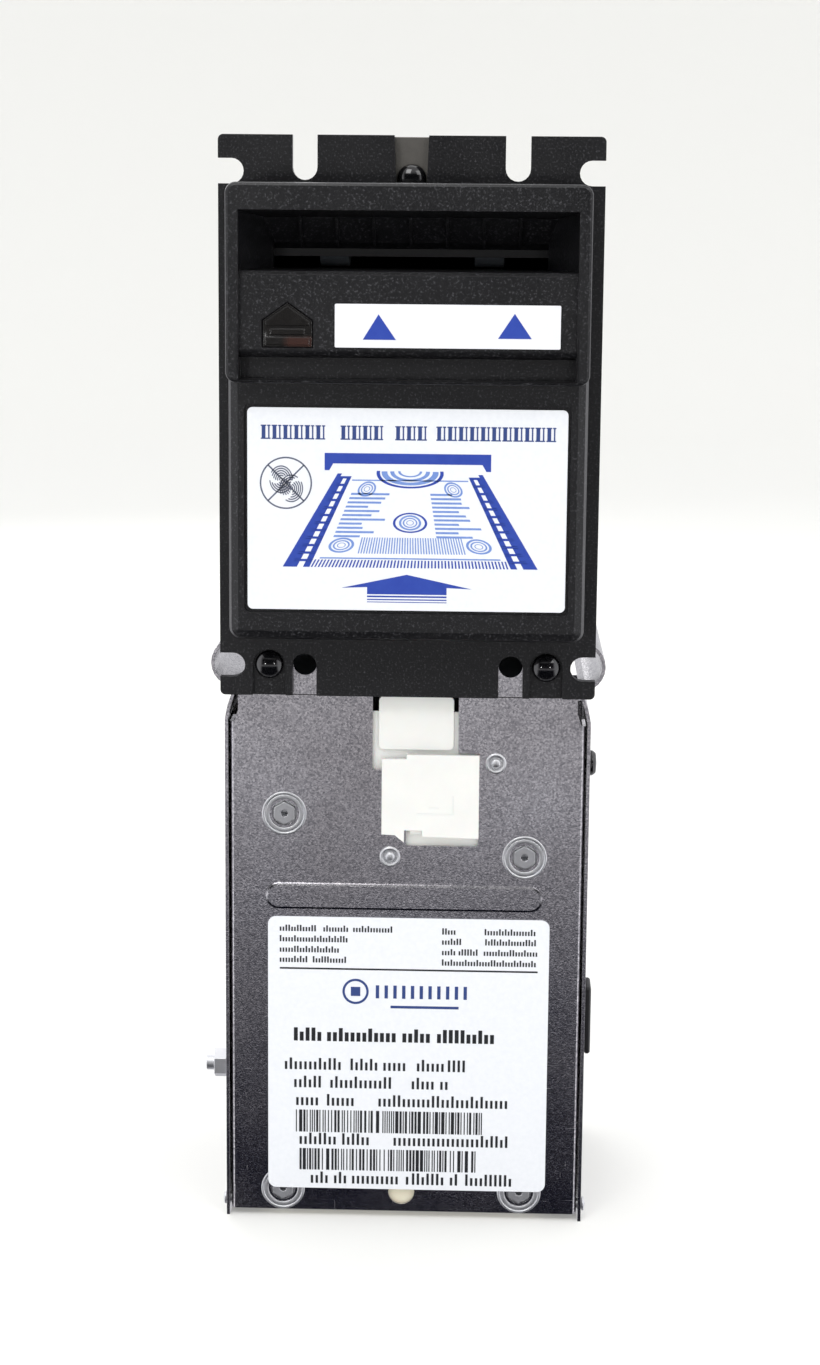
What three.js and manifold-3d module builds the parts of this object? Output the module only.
// Bill validator with a stacker below it. Millimetres. +X is to the right seen from the front,
// +Y runs to the rear and +Z up. The origin is on the front of the bezel flange, midway between
// the two lower door studs.
import * as THREE from 'three';
import { mergeVertices } from 'three/addons/utils/BufferGeometryUtils.js';
import Module from 'manifold-3d';

const wasm = await Module();
wasm.setup();

// Bezel flange
const FLANGE = { halfWidth: 54, bottom: -8.6, top: 150, thick: 3, corner: 1.5 };
const STUD = { lowZ: 0.2, highZ: 140, innerX: 29.7, outerX: 50.3, slotR: 3.5, highSlotZ: 141.1 };
// Raised hood: the pad carries the instruction label, the snout carries the mouth
const PAD = { halfWidth: 50, bottom: 10, top: 100, front: -15.5, corner: 3.5, edge: 2.8 };
const SNOUT = { halfWidth: 50, bottom: 82.5, top: 136.8, front: -22, corner: 3, edge: 0.9 };
const MOUTH = { halfWidth: 46.4, top: 130.4, throatHalf: 38.5, throatLow: 113.4, throatHigh: 118.2 };
const LIP = { front: -20, top: 113, bottom: 89.4, round: 2.6, undercutFront: -15.6, undercutLow: 83.4 };
const JAW_RIBS = { count: 7, pitch: 10.2, wide: 0.8 };
const LABEL_POCKET = { left: -45.5, right: 45.4, low: 18, high: 76.4, floor: -14.4, corner: 1.6 };
const SCREW_RECESS = { x: 39.9, z: 0.3, r: 4.75, deep: 1.4, hole: 1.9 };
const TOP_SCREW_Z = 138.2;
// Sheet-steel chassis
const SHEET = 1;
const CASE = { outer: 53.3, bottom: -169.1, front: 4.7, rear: 89, upperOuter: 48.8, top: 136 };
const EAR = { x: 50, r: 7.2, sweepDeg: 75 };
const LINER_X = 51.9;
const SIDE_SCREW = { y: 20, z: -31.4 };
const PLUG = { y: 20, z: -109.4 };
const GROUND = { y: 12, z: -123.5 };
// Stacker door, hinged at its lower edge
const DOOR = { front: 5, halfWidth: 51.9, depth: 11, bottom: -167, top: -9.3, bend: 1.6 };
const DOOR_HINGE = { y: 8.6, z: -164.9, r: 1.5 };
const POSTS = {
  upper_left: [-35.9, -44.7],
  upper_right: [34.7, -57],
  lower_left: [-36.3, -160.4],
  lower_right: [34.6, -160.4],
};
const RIVETS = { upper: [25.9, -28.8], lower: [-4.8, -57.2] };
const LATCH_TRAVEL = { up: 2.6, down: 3.4 };
// Stack of notes, its rails and the pusher
const PRESSER = { front: 32, rear: 43.4, halfWidth: 43.5, bottom: -157, top: -24 };
const SPRING = { start: 10.2, end: 31.7, r: 5.6, wire: 0.5, turns: 5 };
const WIRE_SIDES = 5;
const RAIL = { front: 44.3, rear: 46.6, inner: 31, bottom: -166, top: -17.2 };
const CHANNEL_BACK = { front: 50.9, rear: 52.4, windowHalf: 28.3, windowLow: -153, windowHigh: -26 };
const PUSHER = { front: 51.2, rear: 53.4, halfWidth: 27, bottom: -151, top: -28 };
const RACK = { pitchZ: -90.5, module: 1, front: 53.7, rear: 84, halfWidth: 3 };
const DRIVE = { y: 67.5, pinionTeeth: 12, gearTeeth: 30, motorTeeth: 10, gearModule: 0.8 };
// Note path through the head
const HEAD = { halfWidth: 45.2, wall: 2, front: 5, bedZ: 113, backY: 47, bendY: 30, bendZ: 96 };
const BEND = { inner: 17, outer: 20.6 };
const COVER = { front: 5.3, rear: 86, bottom: 12, top: 133, corner: 6 };
const COVER_HINGE = { y: 80, z: 18, r: 3 };
const WHEEL = { r: 8, x: 22, halfWidth: 4 };
const FRONT_SHAFT = { y: 16, z: 105.3 };
const LOWER_SHAFT = { y: 39.3, z: 30 };
const MOTOR_SHAFT = { y: 24, z: 62 };
const IDLER = { r: 5, gap: 0.4, shaft: 1.5 };
const BELT = { left: -41.6, right: -38.4, clear: 0.3, thick: 1.2 };
const PULLEY = { drive: 3.9, motor: 3.4, left: -42.4, right: -37.8 };
const FLAP = { y: 43.6, z: 18, rod: 1.2 };
const BUTTON = { y: 25, halfX: 8, halfY: 5 };
// Clearance round turning pins, and between neighbouring pieces
const RUNNING = 0.08;
const GAP = 0.3;

// Centres of the two idler rollers, each held against its drive wheels
const idlerZ = FRONT_SHAFT.z + WHEEL.r + IDLER.gap + IDLER.r;
const idlerY = LOWER_SHAFT.y + WHEEL.r + IDLER.gap + IDLER.r;

const WELD = 1e-4;
const QUARTER = Math.PI / 2;

function finish(colour, roughness, metalness) {
  return new THREE.MeshStandardMaterial({ color: colour, roughness, metalness });
}

const blackAbs = finish(0x1b1b1d, 0.6, 0);
const smokedLens = finish(0x15100f, 0.25, 0);
const labelSilver = finish(0xd9dde3, 0.4, 0);
const decalWhite = finish(0xf2f3f5, 0.45, 0);
const blackScrew = finish(0x0c0c0d, 0.2, 0.3);
const zincSteel = finish(0xb9bcc4, 0.28, 0.95);
const greySteel = finish(0x8c8a86, 0.55, 0.8);
const springSteel = finish(0xc7c9cc, 0.3, 1);
const whiteNylon = finish(0xf1f1ee, 0.5, 0);
const creamPlastic = finish(0xe6dfc8, 0.5, 0);
const greyPlastic = finish(0x55585c, 0.55, 0);
const blackRubber = finish(0x101011, 0.8, 0);
const boardGreen = finish(0x1f5a34, 0.5, 0);
const motorCan = finish(0x9a9da1, 0.35, 0.9);
const buttonBlue = finish(0x2350b4, 0.45, 0);

// Welds a geometry, drops collapsed triangles and turns its faces outward.
function welded(geometry) {
  const bare = new THREE.BufferGeometry();
  bare.setAttribute('position', geometry.getAttribute('position').clone());
  if (geometry.index) bare.setIndex(geometry.index.clone());
  const merged = mergeVertices(bare, WELD);
  const at = merged.getAttribute('position');
  const corners = [new THREE.Vector3(), new THREE.Vector3(), new THREE.Vector3()];
  const kept = [];
  let volume = 0;
  for (let i = 0; i < merged.index.count; i += 3) {
    const ids = [0, 1, 2].map((k) => merged.index.getX(i + k));
    if (ids[0] === ids[1] || ids[1] === ids[2] || ids[2] === ids[0]) continue;
    ids.forEach((id, k) => corners[k].fromBufferAttribute(at, id));
    volume += corners[0].dot(corners[1].clone().cross(corners[2]));
    kept.push(...ids);
  }
  if (volume < 0) {
    for (let i = 0; i < kept.length; i += 3) [kept[i], kept[i + 1]] = [kept[i + 1], kept[i]];
  }
  merged.setIndex(kept);
  return merged;
}

function solid(geometry) {
  const clean = welded(geometry);
  return new wasm.Manifold(
    new wasm.Mesh({
      numProp: 3,
      vertProperties: clean.getAttribute('position').array,
      triVerts: new Uint32Array(clean.index.array),
    }),
  );
}

function unite(parts) {
  return parts.reduce((sum, part) => sum.add(part));
}

function carve(body, tools) {
  return tools.reduce((left, tool) => left.subtract(tool), body);
}

function block(x0, x1, y0, y1, z0, z1) {
  const geometry = new THREE.BoxGeometry(x1 - x0, y1 - y0, z1 - z0);
  geometry.translate((x0 + x1) / 2, (y0 + y1) / 2, (z0 + z1) / 2);
  return solid(geometry);
}

// A straight-sided outline from corner points.
function outline(points) {
  return new THREE.Shape(points.map(([u, v]) => new THREE.Vector2(u, v)));
}

function roundedRect(u0, u1, v0, v1, r) {
  const shape = new THREE.Shape();
  shape.moveTo(u0 + r, v0);
  shape.lineTo(u1 - r, v0);
  shape.absarc(u1 - r, v0 + r, r, -QUARTER, 0, false);
  shape.lineTo(u1, v1 - r);
  shape.absarc(u1 - r, v1 - r, r, 0, QUARTER, false);
  shape.lineTo(u0 + r, v1);
  shape.absarc(u0 + r, v1 - r, r, QUARTER, Math.PI, false);
  shape.lineTo(u0, v0 + r);
  shape.absarc(u0 + r, v0 + r, r, Math.PI, 3 * QUARTER, false);
  return shape;
}

// A slot of radius r between two end centres.
function stadium(u0, v0, u1, v1, r) {
  const along = Math.atan2(v1 - v0, u1 - u0);
  const shape = new THREE.Shape();
  shape.absarc(u1, v1, r, along - QUARTER, along + QUARTER, false);
  shape.absarc(u0, v0, r, along + QUARTER, along + 3 * QUARTER, false);
  return shape;
}

function extrusion(shape, length, bevel, curveSegments) {
  const settings = { depth: length - 2 * bevel, curveSegments, steps: 1, bevelEnabled: bevel > 0 };
  if (bevel > 0) {
    Object.assign(settings, {
      bevelThickness: bevel,
      bevelSize: bevel,
      bevelOffset: -bevel,
      bevelSegments: 2,
    });
  }
  const geometry = new THREE.ExtrudeGeometry(shape, settings);
  geometry.translate(0, 0, bevel);
  return geometry;
}

// An X-Z outline pushed from y0 to y1.
function alongY(shape, y0, y1, bevel = 0, curveSegments = 5) {
  const geometry = extrusion(shape, y1 - y0, bevel, curveSegments);
  geometry.rotateX(QUARTER);
  geometry.translate(0, y1, 0);
  return solid(geometry);
}

// A Y-Z outline pushed from x0 to x1.
function alongX(shape, x0, x1, bevel = 0, curveSegments = 5) {
  const geometry = extrusion(shape, x1 - x0, bevel, curveSegments);
  const turn = new THREE.Matrix4().makeBasis(
    new THREE.Vector3(0, 1, 0),
    new THREE.Vector3(0, 0, 1),
    new THREE.Vector3(1, 0, 0),
  );
  geometry.applyMatrix4(turn);
  geometry.translate(x0, 0, 0);
  return solid(geometry);
}

// An X-Y outline pushed from z0 to z1.
function alongZ(shape, z0, z1, bevel = 0, curveSegments = 5) {
  const geometry = extrusion(shape, z1 - z0, bevel, curveSegments);
  geometry.translate(0, 0, z0);
  return solid(geometry);
}

// Revolves [radius, distance] points about an axis through the origin.
function turned(axis, profile, segments = 20) {
  const points = profile.map(([radius, distance]) => new THREE.Vector2(radius, distance));
  const geometry = new THREE.LatheGeometry(points, segments);
  if (axis === 'x') geometry.rotateZ(-QUARTER);
  if (axis === 'z') geometry.rotateX(QUARTER);
  return solid(geometry);
}

function rodX(x0, x1, y, z, r, segments = 20) {
  return turned('x', [[0, x0], [r, x0], [r, x1], [0, x1]], segments).translate([0, y, z]);
}

function rodY(y0, y1, x, z, r, segments = 20) {
  return turned('y', [[0, y0], [r, y0], [r, y1], [0, y1]], segments).translate([x, 0, z]);
}

function hexY(y0, y1, x, z, acrossFlats) {
  const corner = acrossFlats / Math.sqrt(3);
  return rodY(y0, y1, x, z, corner, 6);
}

const validator = new THREE.Group();
validator.name = 'bill_validator';

function place(name, body, material, at = [0, 0, 0]) {
  const mesh = body.getMesh();
  const geometry = new THREE.BufferGeometry();
  geometry.setAttribute('position', new THREE.BufferAttribute(mesh.vertProperties, 3));
  geometry.setIndex(new THREE.BufferAttribute(mesh.triVerts, 1));
  geometry.computeVertexNormals();
  const part = new THREE.Mesh(geometry, material);
  part.name = name;
  part.position.set(...at);
  validator.add(part);
}

// ---- Bezel: flange with stud slots, hood, mouth and label pocket, hollow behind ----

function flangeNotches() {
  const deep = [-1, FLANGE.thick + 1];
  const cuts = [];
  for (const side of [-1, 1]) {
    const inner = side * STUD.innerX;
    const outer = side * STUD.outerX;
    const beyond = side * 70;
    cuts.push(alongY(stadium(inner, STUD.highSlotZ, inner, 170, STUD.slotR), ...deep));
    cuts.push(alongY(stadium(inner, -30, inner, STUD.lowZ, STUD.slotR), ...deep));
    for (const z of [STUD.lowZ, STUD.highZ]) {
      cuts.push(alongY(stadium(outer, z, beyond, z, STUD.slotR), ...deep));
    }
    const recessX = side * SCREW_RECESS.x;
    const recess = stadium(recessX, -30, recessX, SCREW_RECESS.z, SCREW_RECESS.r);
    cuts.push(alongY(recess, -1, SCREW_RECESS.deep));
    cuts.push(rodY(-1, 5, recessX, SCREW_RECESS.z, SCREW_RECESS.hole, 12));
  }
  const notch = outline([[-4.3, 137.2], [4.3, 137.2], [4.9, 152], [-4.9, 152]]);
  cuts.push(alongY(notch, ...deep));
  return cuts;
}

// Everything removed in front of the lip and through the mouth, in one Y-Z outline.
function mouthAndLipCut() {
  const shape = new THREE.Shape();
  shape.moveTo(-30, MOUTH.top);
  shape.lineTo(-30, LIP.undercutLow);
  shape.lineTo(LIP.undercutFront, LIP.undercutLow);
  shape.lineTo(LIP.undercutFront, LIP.bottom);
  shape.lineTo(LIP.front + LIP.round, LIP.bottom);
  shape.absarc(LIP.front + LIP.round, LIP.bottom + LIP.round, LIP.round, 3 * QUARTER, Math.PI, true);
  shape.lineTo(LIP.front, LIP.top - 1);
  shape.lineTo(LIP.front + 1, LIP.top);
  shape.lineTo(FLANGE.thick + 1, MOUTH.throatLow);
  shape.lineTo(FLANGE.thick + 1, MOUTH.throatHigh);
  shape.lineTo(0, 120.5);
  shape.lineTo(-6, 127.5);
  shape.closePath();
  return alongX(shape, -MOUTH.halfWidth, MOUTH.halfWidth);
}

function mouthCheek(side) {
  const near = side * MOUTH.throatHalf;
  const far = side * (MOUTH.halfWidth + 0.5);
  const shape = outline([[far, -19], [far, FLANGE.thick], [near, FLANGE.thick], [near, -0.5]]);
  return alongZ(shape, LIP.top - 1, MOUTH.top + 1);
}

function jawRibs() {
  const ribs = [];
  const first = (-(JAW_RIBS.count - 1) / 2) * JAW_RIBS.pitch;
  const side = outline([[-8, 129], [-6.6, 126.6], [-0.4, 119.4], [1.5, 120.6], [-4, 129]]);
  for (let i = 0; i < JAW_RIBS.count; i += 1) {
    const x = first + i * JAW_RIBS.pitch;
    ribs.push(alongX(side, x - JAW_RIBS.wide / 2, x + JAW_RIBS.wide / 2));
  }
  return ribs;
}

const LENS = outline([[-25.9, 92.1], [-25.9, 99.7], [-33, 104.8], [-40.1, 99.7], [-40.1, 92.1]]);

function bezel() {
  const flange = roundedRect(
    -FLANGE.halfWidth, FLANGE.halfWidth, FLANGE.bottom, FLANGE.top, FLANGE.corner,
  );
  const pad = roundedRect(-PAD.halfWidth, PAD.halfWidth, PAD.bottom, PAD.top, PAD.corner);
  const snout = roundedRect(
    -SNOUT.halfWidth, SNOUT.halfWidth, SNOUT.bottom, SNOUT.top, SNOUT.corner,
  );
  const shell = unite([
    carve(alongY(flange, 0, FLANGE.thick), flangeNotches()),
    alongY(pad, PAD.front, FLANGE.thick, PAD.edge),
    alongY(snout, SNOUT.front, FLANGE.thick, SNOUT.edge),
  ]);
  const pocket = roundedRect(
    LABEL_POCKET.left, LABEL_POCKET.right, LABEL_POCKET.low, LABEL_POCKET.high, LABEL_POCKET.corner,
  );
  const hollow = outline([[5, 13], [-12.2, 13], [-12.2, 84], [-16.8, 92.5], [-16.8, 110.6], [5, 110.6]]);
  const front = carve(shell, [
    mouthAndLipCut(),
    alongY(pocket, -30, LABEL_POCKET.floor),
    alongX(hollow, -46.6, 46.6),
    alongY(LENS, -30, -18.5),
    rodY(0.2, FLANGE.thick + 1, 0, TOP_SCREW_Z, 4.5, 20),
  ]);
  return unite([front, mouthCheek(-1), mouthCheek(1), ...jawRibs()]);
}

place('bezel', bezel(), blackAbs);

function arrowLens() {
  const plate = outline([[-26.3, 92.5], [-26.3, 99.5], [-33, 104.3], [-39.7, 99.5], [-39.7, 92.5]]);
  const roof = outline([[-27, 98.3], [-27, 99.3], [-33, 103.5], [-39, 99.3], [-39, 98.3]]);
  return unite([
    alongY(plate, -19.9, -18.8),
    alongY(roof, -20.5, -19.5),
    block(-37.6, -28.4, -20.5, -19.5, 95.8, 97.3),
    block(-39, -27, -20.5, -19.5, 93, 95),
  ]);
}

place('arrow_lens', arrowLens(), smokedLens);
place('triangle_decal', alongY(roundedRect(-20, 41.8, 92.4, 104.3, 0.4), -20.5, -20.2), decalWhite);
place('instruction_label', alongY(roundedRect(-44.6, 44.5, 18.9, 75.5, 1.5), -15.1, -14.7), labelSilver);

// Domed screws that hold the bezel: origin at the head's seat, shank to the rear.
const domedScrew = turned('y', [
  [0, -2.6], [1.6, -2.45], [2.9, -1.8], [3.8, -0.8], [4.1, 0], [1.5, 0], [1.5, 8], [0, 8.6],
]);
const screwSeat = SCREW_RECESS.deep - GAP;
place('bezel_screw_left', domedScrew, blackScrew, [-SCREW_RECESS.x, screwSeat, SCREW_RECESS.z]);
place('bezel_screw_right', domedScrew, blackScrew, [SCREW_RECESS.x, screwSeat, SCREW_RECESS.z]);
place('bezel_screw_top', domedScrew, blackScrew, [0, 3.05, TOP_SCREW_Z]);

// ---- Chassis ----

function crossPlate() {
  const shape = outline([
    [-47, 3.4], [47, 3.4], [47, 12], [46, 12], [46, 4.4], [-46, 4.4], [-46, 12], [-47, 12],
  ]);
  const holes = [];
  for (const side of [-1, 1]) {
    holes.push(rodY(0, 8, side * STUD.innerX, STUD.lowZ + 0.2, STUD.slotR, 20));
    holes.push(rodY(0, 8, side * SCREW_RECESS.x, SCREW_RECESS.z, 1.8, 12));
  }
  return carve(alongZ(shape, -8.8, 9.5), holes);
}

place('front_cross_plate', crossPlate(), zincSteel);

function topBracket() {
  const channel = outline([
    [-47, 3.4], [47, 3.4], [47, 12], [46, 12], [46, 4.4], [-46, 4.4], [-46, 12], [-47, 12],
  ]);
  const tab = unite([alongZ(channel, 127, 135.8), block(-6.5, 6.5, 3.4, 4.4, 134, 149.6)]);
  return carve(tab, [rodY(0, 8, 0, TOP_SCREW_Z, 1.8, 12)]);
}

place('top_bracket', topBracket(), greySteel);

// Right-hand side plate outline: straight box side, half-round ear over the stud, upper side.
function sideOutline() {
  const shape = new THREE.Shape();
  const sweep = THREE.MathUtils.degToRad(EAR.sweepDeg);
  shape.moveTo(CASE.outer, CASE.bottom);
  shape.lineTo(CASE.outer, -16.5);
  shape.lineTo(52.5, -12.6);
  shape.lineTo(50.9, -8);
  shape.absarc(EAR.x, 0, EAR.r, -sweep, sweep, false);
  shape.lineTo(50.7, 8);
  shape.lineTo(CASE.upperOuter, 10.2);
  shape.lineTo(CASE.upperOuter, CASE.top);
  shape.lineTo(CASE.upperOuter - SHEET, CASE.top);
  shape.lineTo(CASE.upperOuter - SHEET, 10.2);
  shape.lineTo(49.8, 7.6);
  shape.absarc(EAR.x, 0, EAR.r - SHEET, sweep, -sweep, true);
  shape.lineTo(49.9, -7.7);
  shape.lineTo(51.5, -12.8);
  shape.lineTo(CASE.outer - SHEET, -16.7);
  shape.lineTo(CASE.outer - SHEET, CASE.bottom);
  shape.closePath();
  return shape;
}

function sidePlate(side) {
  const plain = alongY(sideOutline(), CASE.front, CASE.rear);
  const handed = side > 0 ? plain : plain.mirror([1, 0, 0]);
  const holes = [
    rodX(-70, 70, DOOR_HINGE.y, DOOR_HINGE.z, DOOR_HINGE.r + RUNNING, 16),
    rodX(-70, 70, COVER_HINGE.y, COVER_HINGE.z, COVER_HINGE.r + RUNNING, 24),
  ];
  if (side > 0) {
    holes.push(rodX(40, 70, SIDE_SCREW.y, SIDE_SCREW.z, 1.8, 12));
    holes.push(block(40, 70, PLUG.y - 3.3, PLUG.y + 3.3, PLUG.z - 7.8, PLUG.z + 7.8));
  } else {
    holes.push(rodX(-70, -40, GROUND.y, GROUND.z, 2.7, 12));
  }
  return carve(handed, holes);
}

place('chassis_side_left', sidePlate(-1), zincSteel);
place('chassis_side_right', sidePlate(1), zincSteel);
place('base_plate', block(-LINER_X, LINER_X, 14.5, 88, CASE.bottom, CASE.bottom + SHEET), zincSteel);

function rearPlate() {
  const sheet = block(-LINER_X, LINER_X, 87.7, 88.7, -167.8, -17.2);
  const holes = [];
  for (const z of [-150, -130, -45, -28]) {
    holes.push(alongY(stadium(-22, z, 22, z, 2.6), 80, 95, 0, 4));
  }
  return carve(sheet, holes);
}

place('rear_plate', rearPlate(), zincSteel);

// ---- Stacker door and its latch ----

function doorPan() {
  const outer = DOOR.halfWidth;
  const inner = outer - SHEET;
  const rear = DOOR.front + DOOR.depth;
  const shape = new THREE.Shape();
  shape.moveTo(-outer, rear);
  shape.lineTo(-outer, DOOR.front + DOOR.bend);
  shape.absarc(-outer + DOOR.bend, DOOR.front + DOOR.bend, DOOR.bend, Math.PI, 3 * QUARTER, false);
  shape.lineTo(outer - DOOR.bend, DOOR.front);
  shape.absarc(outer - DOOR.bend, DOOR.front + DOOR.bend, DOOR.bend, -QUARTER, 0, false);
  shape.lineTo(outer, rear);
  shape.lineTo(inner, rear);
  shape.lineTo(inner, DOOR.front + DOOR.bend);
  shape.lineTo(inner - 0.6, DOOR.front + SHEET);
  shape.lineTo(-inner + 0.6, DOOR.front + SHEET);
  shape.lineTo(-inner, DOOR.front + DOOR.bend);
  shape.lineTo(-inner, rear);
  shape.closePath();
  return alongZ(shape, DOOR.bottom, DOOR.top, 0, 3);
}

function doorCuts() {
  const through = [0, 8];
  const cuts = [
    alongY(roundedRect(-10.1, 14.9, -31.4, 0, 1), ...through),
    alongY(roundedRect(-0.2, 21, -53.9, -26, 0.6), ...through),
    rodY(...through, -0.7, -160.9, 3.9, 20),
    rodX(-60, 60, DOOR_HINGE.y, DOOR_HINGE.z, DOOR_HINGE.r + RUNNING, 16),
  ];
  for (const side of [-1, 1]) {
    const relief = outline([
      [side * 49.4, 0], [side * 49.4, -14], [side * 50.6, -17.5], [side * 56, -17.5], [side * 56, 0],
    ]);
    cuts.push(alongY(relief, 0, 20));
  }
  for (const [x, z] of Object.values(POSTS)) {
    cuts.push(rodY(...through, x, z, 3.75, 16));
    cuts.push(rodY(0, DOOR.front + 0.35, x, z, 6.1, 20));
  }
  for (const [x, z] of Object.values(RIVETS)) cuts.push(rodY(...through, x, z, 1.7, 12));
  return cuts;
}

const bead = alongY(stadium(-37.6, -69.5, 36.4, -69.5, 4), DOOR.front - 0.9, DOOR.front + 0.9, 0.8, 5);
place('stacker_door', carve(doorPan().add(bead), doorCuts()), zincSteel);
place('rating_label', alongY(roundedRect(-40.7, 42.4, -160, -75.7, 2.5), 4.4, 4.7), labelSilver);

for (const [name, [x, z]] of Object.entries(POSTS)) {
  const post = unite([hexY(4.9, 6.5, 0, 0, 6), rodY(6.3, 12, 0, 0, 4.4, 16)]);
  place(`door_post_${name}`, carve(post, [rodY(0, 9, 0, 0, 1.1, 8)]), zincSteel, [x, 0, z]);
}

for (const [name, [x, z]] of Object.entries(RIVETS)) {
  const rivet = turned('y', [
    [0, 4.1], [1.6, 4.15], [2.6, 4.7], [1.4, 4.7], [1.4, 8.5], [3.2, 8.5], [3.2, 9.3], [0, 9.3],
  ], 14);
  place(`latch_rivet_${name}`, rivet, zincSteel, [x, 0, z]);
}

function doorLatch() {
  const cap = outline([
    [-7.3, -27.6], [-0.1, -27.6], [-0.1, -26.3], [21.1, -26.3], [21.1, -51.1], [4.6, -50.7],
    [4.6, -48.9], [-0.7, -48.9], [-0.7, -52.6], [-3.4, -50.4], [-7.3, -50.2],
  ]);
  const carrier = outline([
    [-12, -14], [22, -14], [22, -24], [29.6, -24], [29.6, -36], [22, -36], [22, -61], [-12, -61],
  ]);
  const slots = Object.values(RIVETS).map(([x, z]) => (
    alongY(stadium(x, z - LATCH_TRAVEL.up, x, z + LATCH_TRAVEL.down, 1.4 + GAP), 0, 20, 0, 4)
  ));
  const body = unite([
    alongY(cap, 3.2, 4.7),
    block(1, 20, 4.5, 6.6, -50.2, -32),
    alongY(carrier, 6.4, 8.2),
    alongY(roundedRect(-8.3, 13.5, -25.2, DOOR.top - 0.1, 1.4), 5.4, 6.6),
  ]);
  return carve(body, slots);
}

place('door_latch', doorLatch(), whiteNylon);

const hingePin = turned('x', [
  [0, 49.5], [DOOR_HINGE.r, 49.5], [DOOR_HINGE.r, 53.6], [2.1, 53.6], [2.1, 54.2], [0, 54.6],
], 16);
const pinAt = [0, DOOR_HINGE.y, DOOR_HINGE.z];
place('door_hinge_pin_right', hingePin, blackScrew, pinAt);
place('door_hinge_pin_left', hingePin.mirror([1, 0, 0]), blackScrew, pinAt);

function springCarrier() {
  const bar = alongY(roundedRect(-43, 43, -165.6, -154.6, 2), 6.4, 9.2, 0, 3);
  const [left, right] = [POSTS.lower_left, POSTS.lower_right];
  return carve(bar, [left, right].map(([x, z]) => rodY(5, 12, x, z, 4.7, 16)));
}

place('spring_carrier', springCarrier(), creamPlastic);

// ---- Pressure plate, its springs, and the rails the notes are tucked behind ----

class Helix extends THREE.Curve {
  getPoint(t, target = new THREE.Vector3()) {
    const turn = 2 * Math.PI * SPRING.turns * t;
    const along = SPRING.start + SPRING.wire + (SPRING.end - SPRING.start - 2 * SPRING.wire) * t;
    return target.set(SPRING.r * Math.cos(turn), along, SPRING.r * Math.sin(turn));
  }
}

const wireCorners = Array.from({ length: WIRE_SIDES }, (_, i) => {
  const angle = (2 * Math.PI * i) / WIRE_SIDES;
  return [SPRING.wire * Math.cos(angle), SPRING.wire * Math.sin(angle)];
});
const coil = solid(new THREE.ExtrudeGeometry(outline(wireCorners), {
  steps: SPRING.turns * 8, bevelEnabled: false, extrudePath: new Helix(),
}));
for (const [name, [x, z]] of Object.entries(POSTS)) {
  place(`pressure_spring_${name}`, coil, springSteel, [x, 0, z]);
}

function pressurePlate() {
  const { front, rear, halfWidth, bottom, top } = PRESSER;
  const tray = alongY(roundedRect(-halfWidth, halfWidth, bottom, top, 4), front, rear, 0, 3);
  return carve(tray, [
    block(-29, 29, 35.3, rear + 2, -154, -25.5),
    block(-halfWidth + 2, -31, front + 2, rear - 2, bottom + 3, top - 3),
    block(31, halfWidth - 2, front + 2, rear - 2, bottom + 3, top - 3),
    block(-halfWidth + 4, -33, front + 1, rear + 2, -100, -80),
    block(33, halfWidth - 4, front + 1, rear + 2, -100, -80),
  ]);
}

place('pressure_plate', pressurePlate(), creamPlastic);

function stackRail(side) {
  const shape = outline([
    [side * RAIL.inner, RAIL.front], [side * LINER_X, RAIL.front], [side * LINER_X, 60],
    [side * (LINER_X - 1.5), 60], [side * (LINER_X - 1.5), RAIL.rear], [side * RAIL.inner, RAIL.rear],
  ]);
  return alongZ(shape, RAIL.bottom, RAIL.top);
}

place('stack_rail_left', stackRail(-1), blackAbs);
place('stack_rail_right', stackRail(1), blackAbs);

function channelBack() {
  const { front, rear, windowHalf, windowLow, windowHigh } = CHANNEL_BACK;
  const sheet = unite([
    block(-49.8, 49.8, front, rear, -166, -17.2),
    block(-45, 45, front, rear, -18, 10),
  ]);
  return carve(sheet, [block(-windowHalf, windowHalf, front - 2, rear + 2, windowLow, windowHigh)]);
}

place('channel_back', channelBack(), greyPlastic);

// ---- Pusher, rack and the stacker drive ----

// A spur wheel outline in Y-Z with a tooth centred on the given direction.
function spur(teeth, module, toothAt) {
  const tip = (teeth * module) / 2 + 0.8 * module;
  const root = (teeth * module) / 2 - 1.15 * module;
  const pitch = (2 * Math.PI) / teeth;
  const points = [];
  for (let i = 0; i < teeth; i += 1) {
    const mid = toothAt + i * pitch;
    for (const [radius, share] of [[root, -0.25], [tip, -0.11], [tip, 0.11], [root, 0.25]]) {
      const angle = mid + share * pitch;
      points.push([radius * Math.cos(angle), radius * Math.sin(angle)]);
    }
  }
  return outline(points);
}

const pinionR = (DRIVE.pinionTeeth * RACK.module) / 2;
const gearZ = RACK.pitchZ + pinionR;
const gearR = (DRIVE.gearTeeth * DRIVE.gearModule) / 2;
const motorR = (DRIVE.motorTeeth * DRIVE.gearModule) / 2;
const motorZ = gearZ + gearR + motorR;
const DOWN = -QUARTER;
const UP = QUARTER;

function pusherPlate() {
  const { front, rear, halfWidth, bottom, top } = PUSHER;
  return unite([
    alongY(roundedRect(-halfWidth, halfWidth, bottom, top, 3), front, rear, 0, 3),
    block(-25, -23, rear - 0.5, rear + 3, bottom + 4, top - 4),
    block(23, 25, rear - 0.5, rear + 3, bottom + 4, top - 4),
  ]);
}

place('pusher_plate', pusherPlate(), greyPlastic);

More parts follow.
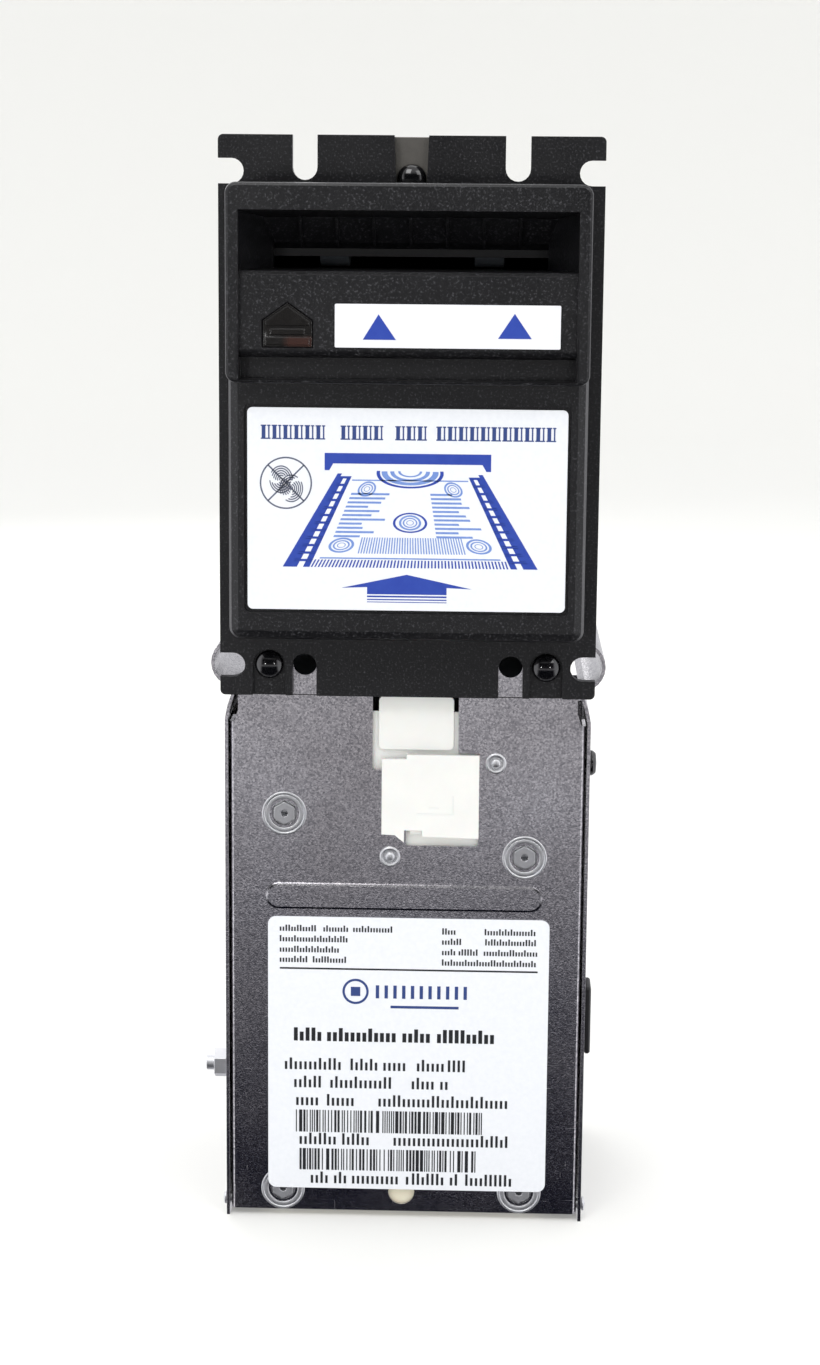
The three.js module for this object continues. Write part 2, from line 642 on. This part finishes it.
function pusherRack() {
  const pitch = Math.PI * RACK.module;
  const rootZ = RACK.pitchZ - 1.15 * RACK.module;
  const tipZ = RACK.pitchZ + 0.8 * RACK.module;
  const points = [[RACK.front, rootZ - 4], [RACK.rear, rootZ - 4], [RACK.rear, rootZ]];
  for (let i = 5; i >= -3; i -= 1) {
    const y = DRIVE.y + i * pitch;
    if (y + 0.5 * pitch > RACK.rear || y - 0.5 * pitch < RACK.front) continue;
    points.push([y + 0.25 * pitch, rootZ], [y + 0.11 * pitch, tipZ]);
    points.push([y - 0.11 * pitch, tipZ], [y - 0.25 * pitch, rootZ]);
  }
  points.push([RACK.front, rootZ]);
  return alongX(outline(points), -RACK.halfWidth, RACK.halfWidth);
}

place('pusher_rack', pusherRack(), whiteNylon);

// Teeth that must sit in a gap are turned by half a tooth pitch.
const pinionShape = spur(DRIVE.pinionTeeth, RACK.module, DOWN + Math.PI / DRIVE.pinionTeeth);
const gearShape = spur(DRIVE.gearTeeth, DRIVE.gearModule, UP);
const stackerGear = unite([
  alongX(pinionShape, -3.4, 3.4),
  alongX(gearShape, 13.5, 17.5),
  rodX(3, 14, 0, 0, 3.5, 16),
  rodX(-8.6, 22.6, 0, 0, 2, 20),
]);
place('stacker_gear', stackerGear, whiteNylon, [0, DRIVE.y, gearZ]);

const motorGearShape = spur(DRIVE.motorTeeth, DRIVE.gearModule, DOWN + Math.PI / DRIVE.motorTeeth);
const motorPinion = unite([
  alongX(motorGearShape, 13, 18),
  rodX(-8.7, 22.6, 0, 0, 1.2, 16),
]);
place('stacker_motor_pinion', motorPinion, motorCan, [0, DRIVE.y, motorZ]);

const canProfile = [[0, 0], [9.4, 0], [10.5, 1.2], [10.5, 28], [9.4, 29.4], [3, 29.4], [3, 30.6], [0, 30.6]];
const motorBody = turned('x', canProfile, 22);
place('stacker_motor', motorBody.translate([-39.6, 0, 0]), motorCan, [0, DRIVE.y, motorZ]);

function gearbox() {
  const cheek = roundedRect(DRIVE.y - 11.5, 87.4, gearZ - 5.5, motorZ + 7, 2);
  const frame = unite([
    alongX(cheek, -8.4, -6.4, 0, 3),
    alongX(cheek, 20.2, 22.2, 0, 3),
    block(-8.4, 22.2, 85.4, 87.4, gearZ - 1, motorZ + 5),
  ]);
  return carve(frame, [
    rodX(-20, 30, DRIVE.y, gearZ, 2 + RUNNING, 20),
    rodX(-20, 30, DRIVE.y, motorZ, 1.2 + RUNNING, 16),
  ]);
}

place('stacker_gearbox', gearbox(), greyPlastic);

// ---- Front transport frame with the driven rollers ----

function frontFrameOutline(inset) {
  const shape = new THREE.Shape();
  shape.moveTo(HEAD.front + inset, 12 + inset * 0.6);
  shape.lineTo(14 + inset * 0.6, 2 + inset);
  shape.lineTo(HEAD.backY - inset, 2 + inset);
  shape.absarc(HEAD.bendY, HEAD.bendZ, BEND.inner - inset, 0, QUARTER, false);
  shape.lineTo(HEAD.front + inset, HEAD.bedZ - inset);
  shape.closePath();
  return shape;
}

function frontFrame() {
  const { halfWidth, wall, backY } = HEAD;
  const inside = halfWidth - wall;
  const cuts = [
    alongX(frontFrameOutline(wall), -inside, inside),
    block(-inside, inside, 15.5, 34, -2, 6),
    block(-35, 35, backY - wall - 1, backY + 2, 3.6, 20.4),
    rodX(-60, 60, FRONT_SHAFT.y, FRONT_SHAFT.z, 2 + RUNNING, 20),
    rodX(-60, 60, LOWER_SHAFT.y, LOWER_SHAFT.z, 2 + RUNNING, 20),
    rodX(-60, 60, FLAP.y, FLAP.z, FLAP.rod + RUNNING, 14),
  ];
  for (const side of [-1, 1]) {
    const [x0, x1] = [side * WHEEL.x - 5, side * WHEEL.x + 5];
    cuts.push(block(x0, x1, FRONT_SHAFT.y - 8.5, FRONT_SHAFT.y + 8.5, 110, 114));
    cuts.push(block(x0, x1, 44, 48, LOWER_SHAFT.z - 8.5, LOWER_SHAFT.z + 8.5));
  }
  return carve(alongX(frontFrameOutline(0), -halfWidth, halfWidth), cuts);
}

place('front_transport_frame', frontFrame(), blackAbs);

function exitFlap() {
  const leaf = outline([[-0.6, -13], [2.6, -13], [3, -12], [3, 0], [1, 2], [-1, 1]]);
  return unite([alongX(leaf, -34.5, 34.5), rodX(-45, 45, 0, 0, FLAP.rod, 14)]);
}

place('exit_flap', exitFlap(), blackAbs, [0, FLAP.y, FLAP.z]);

const driveShaft = unite([
  rodX(-45, 45, 0, 0, 2, 20),
  rodX(PULLEY.left, PULLEY.right, 0, 0, PULLEY.drive, 20),
]);
const driveWheel = turned('x', [
  [2.3, -WHEEL.halfWidth], [7.4, -WHEEL.halfWidth], [WHEEL.r, -WHEEL.halfWidth + 0.7],
  [WHEEL.r, WHEEL.halfWidth - 0.7], [7.4, WHEEL.halfWidth], [2.3, WHEEL.halfWidth], [2.3, -WHEEL.halfWidth],
], 18);
for (const [name, shaft] of Object.entries({ front: FRONT_SHAFT, lower: LOWER_SHAFT })) {
  place(`drive_shaft_${name}`, driveShaft, springSteel, [0, shaft.y, shaft.z]);
  place(`drive_wheel_${name}_left`, driveWheel, blackRubber, [-WHEEL.x, shaft.y, shaft.z]);
  place(`drive_wheel_${name}_right`, driveWheel, blackRubber, [WHEEL.x, shaft.y, shaft.z]);
}

const motorPulley = unite([
  rodX(PULLEY.left, PULLEY.right, 0, 0, PULLEY.motor, 18),
  rodX(PULLEY.right - 1, -36.3, 0, 0, 1.5, 14),
]);
place('motor_pulley', motorPulley, whiteNylon, [0, MOTOR_SHAFT.y, MOTOR_SHAFT.z]);
const headMotor = motorBody.mirror([1, 0, 0]).translate([-5.4, 0, 0]);
place('transport_motor', headMotor, motorCan, [0, MOTOR_SHAFT.y, MOTOR_SHAFT.z]);

// The outline of a band pulled tight round the three pulleys, at a distance from them.
function tightLoop(distance) {
  const rim = [];
  const wheels = [
    [FRONT_SHAFT, PULLEY.drive], [LOWER_SHAFT, PULLEY.drive], [MOTOR_SHAFT, PULLEY.motor],
  ];
  for (const [centre, r] of wheels) {
    for (let i = 0; i < 32; i += 1) {
      const angle = (i / 16) * Math.PI;
      const reach = r + distance;
      rim.push([centre.y + reach * Math.cos(angle), centre.z + reach * Math.sin(angle)]);
    }
  }
  rim.sort((a, b) => a[0] - b[0] || a[1] - b[1]);
  const turnsLeft = (a, b, c) => (b[0] - a[0]) * (c[1] - a[1]) - (b[1] - a[1]) * (c[0] - a[0]) > 0;
  const half = (points) => {
    const chain = [];
    for (const point of points) {
      while (chain.length > 1 && !turnsLeft(chain.at(-2), chain.at(-1), point)) chain.pop();
      chain.push(point);
    }
    return chain.slice(0, -1);
  };
  return outline([...half(rim), ...half([...rim].reverse())]);
}

const belt = alongX(tightLoop(BELT.clear + BELT.thick), BELT.left, BELT.right)
  .subtract(alongX(tightLoop(BELT.clear), BELT.left - 1, BELT.right + 1));
place('timing_belt', belt, blackRubber);
place('lower_sensor_board', block(-34, 36, 26, 40, 99.6, 101.2), boardGreen);

// ---- Rear transport cover: opens backward about its lower rear edge ----

function coverOutline() {
  const { front, rear, bottom, top, corner } = COVER;
  const reach = HEAD.bendY + BEND.outer;
  const shape = new THREE.Shape();
  shape.moveTo(reach, bottom);
  shape.lineTo(rear, bottom);
  shape.lineTo(rear, top - corner);
  shape.absarc(rear - corner, top - corner, corner, 0, QUARTER, false);
  shape.lineTo(front, top);
  shape.lineTo(front, HEAD.bendZ + BEND.outer);
  shape.absarc(HEAD.bendY, HEAD.bendZ, BEND.outer, QUARTER, 0, true);
  shape.closePath();
  return shape;
}

function rearCover() {
  const inside = HEAD.halfWidth - HEAD.wall;
  const cuts = [
    block(-inside, inside, COVER.front + 2, 60, 122.4, COVER.top - 2),
    block(-inside, inside, 53.4, COVER.rear - 2, COVER.bottom + 2, COVER.top - 2),
    alongY(roundedRect(-41, 41, 24, 126, 3), 80, 90, 0, 3),
    alongZ(
      roundedRect(-BUTTON.halfX - GAP, BUTTON.halfX + GAP, 19.7, 30.3, 1.5), 128, 140, 0, 3,
    ),
    rodX(-60, 60, FRONT_SHAFT.y, idlerZ, IDLER.shaft + RUNNING, 16),
    rodX(-60, 60, idlerY, LOWER_SHAFT.z, IDLER.shaft + RUNNING, 16),
  ];
  for (const side of [-1, 1]) {
    const [x0, x1] = [side * WHEEL.x - 5, side * WHEEL.x + 5];
    cuts.push(block(x0, x1, FRONT_SHAFT.y - 5.6, FRONT_SHAFT.y + 5.6, 115, 126));
    cuts.push(block(x0, x1, 49, 59, LOWER_SHAFT.z - 5.6, LOWER_SHAFT.z + 5.6));
  }
  const shell = carve(alongX(coverOutline(), -HEAD.halfWidth, HEAD.halfWidth), cuts);
  const trunnions = [-1, 1].map((side) => {
    const ends = [side * 44, side * 48.6].sort((a, b) => a - b);
    return rodX(...ends, COVER_HINGE.y, COVER_HINGE.z, COVER_HINGE.r, 24);
  });
  return unite([shell, ...trunnions]);
}

place('rear_transport_cover', rearCover(), blackAbs);

function idlerProfile() {
  const { shaft, r } = IDLER;
  const [near, far] = [WHEEL.x - 4.2, WHEEL.x + 4.2];
  const half = [[shaft, near], [r, near], [r, far], [shaft, far], [shaft, 45], [0, 45]];
  const mirrored = half.map(([radius, x]) => [radius, -x]).reverse();
  return [...mirrored, ...half];
}

const idler = turned('x', idlerProfile(), 20);
place('idler_roller_front', idler, greyPlastic, [0, FRONT_SHAFT.y, idlerZ]);
place('idler_roller_lower', idler, greyPlastic, [0, idlerY, LOWER_SHAFT.z]);
place('control_board', block(-42, 42, 77, 78.6, 20, 128), boardGreen);
place('board_connector', block(-22, 6, 78.9, 84.6, 32, 39), whiteNylon);

function releaseButton() {
  const cap = roundedRect(-BUTTON.halfX, BUTTON.halfX, BUTTON.y - 5, BUTTON.y + 5, 1.3);
  const skirt = roundedRect(-BUTTON.halfX - 2, BUTTON.halfX + 2, BUTTON.y - 7, BUTTON.y + 7, 1.3);
  return unite([alongZ(cap, 129, 135.2, 0.5, 3), alongZ(skirt, 128.4, 130.6, 0, 3)]);
}

place('cover_release_button', releaseButton(), buttonBlue);

// ---- Small parts on the outside of the case ----

const panScrew = turned('x', [
  [0, 48], [1.5, 48], [1.5, 53.6], [3.8, 53.6], [3.8, 54.5], [3, 55.5], [0, 55.8],
], 18);
place('side_screw', panScrew, blackScrew, [0, SIDE_SCREW.y, SIDE_SCREW.z]);

const plug = unite([
  alongX(roundedRect(-6, 6, -10.4, 10.4, 1.2), 53.6, 55.4, 0.6, 3),
  block(52, 54, -3, 3, -7.5, 7.5),
]);
place('side_plug', plug, blackRubber, [0, PLUG.y, PLUG.z]);

const nut = turned('x', [[0, -57.3], [4.62, -57.3], [4.62, -53.6], [0, -53.6]], 6);
const groundNut = unite([nut, rodX(-59.8, -52.4, 0, 0, 2.4, 16)]);
place('ground_nut', groundNut, zincSteel, [0, GROUND.y, GROUND.z]);

export default validator;
